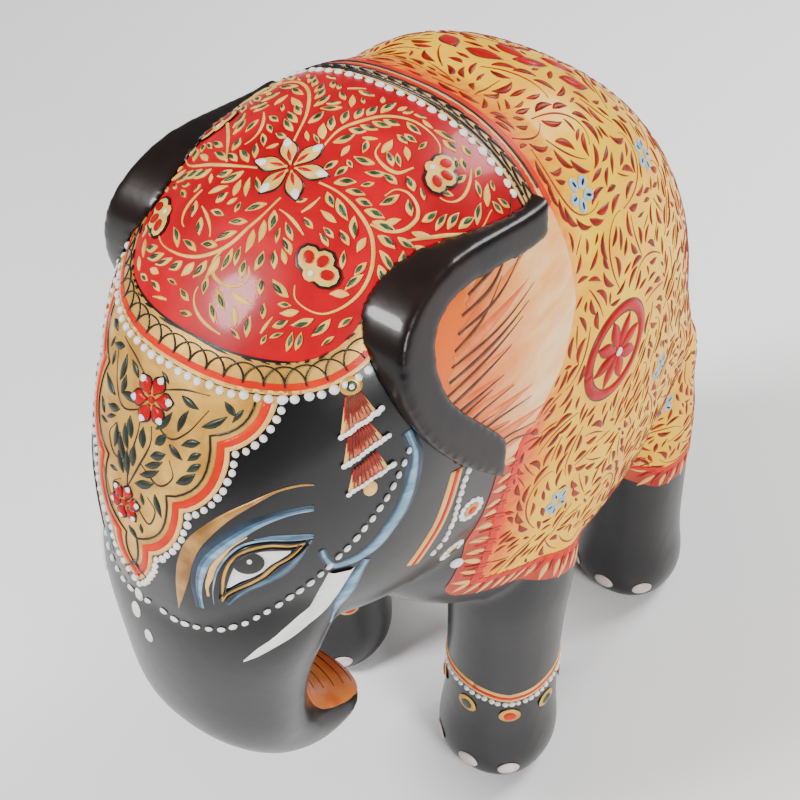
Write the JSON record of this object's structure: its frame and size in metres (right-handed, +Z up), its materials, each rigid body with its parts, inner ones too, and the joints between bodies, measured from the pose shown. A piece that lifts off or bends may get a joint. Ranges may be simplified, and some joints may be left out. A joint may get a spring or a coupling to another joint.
{
  "type": "elephant figurine",
  "caption": "Standing elephant carved from one block of wood, lacquered black and painted with a red cap, a yellow cloth and rows of white beads.",
  "frame": {"origin": "on the ground, under the middle of the bounding box", "axes": "+Z up, the elephant faces -Y, its left side is towards +X"},
  "size_m": [0.0642, 0.1274, 0.1496],
  "materials": {
    "red_paint": "glossy red paint",
    "gold_paint": "satin gold-brown paint with dark leaf strokes",
    "white_paint": "glossy white paint in raised dots and strokes",
    "black_lacquer": "glossy black lacquer over carved wood",
    "orange_paint": "glossy orange paint with darker strokes",
    "crimson_paint": "glossy crimson paint with painted vines",
    "yellow_paint": "glossy yellow paint with red-brown leaf strokes",
    "pink_paint": "glossy pink and tan paint in short strokes"
  },
  "bodies": {
    "root": {"anklet_left": "red_paint", "anklet_right": "red_paint", "cap_band_back": "gold_paint", "cap_band_front": "gold_paint", "cap_beads_back": "white_paint", "cap_beads_front": "white_paint", "carved_body": "black_lacquer", "collar_left": "red_paint", "collar_right": "red_paint", "ear_left": "black_lacquer", "ear_lining_left": "orange_paint", "ear_lining_right": "orange_paint", "ear_right": "black_lacquer", "eye_left": "white_paint", "eye_right": "white_paint", "face_beads_left": "white_paint", "face_beads_right": "white_paint", "forehead_panel": "gold_paint", "head_cap": "crimson_paint", "medallion_left": "red_paint", "medallion_right": "red_paint", "panel_beads": "white_paint", "panel_border": "red_paint", "saddle_cloth": "yellow_paint", "saddle_fringe": "pink_paint", "tail": "black_lacquer", "tassel_left": "pink_paint", "tassel_right": "pink_paint", "toenails_front_left": "white_paint", "toenails_front_right": "white_paint", "toenails_hind_left": "white_paint", "toenails_hind_right": "white_paint", "trunk_tip_lining": "orange_paint", "tusk_left": "white_paint", "tusk_right": "white_paint"}
  },
  "joints": []
}
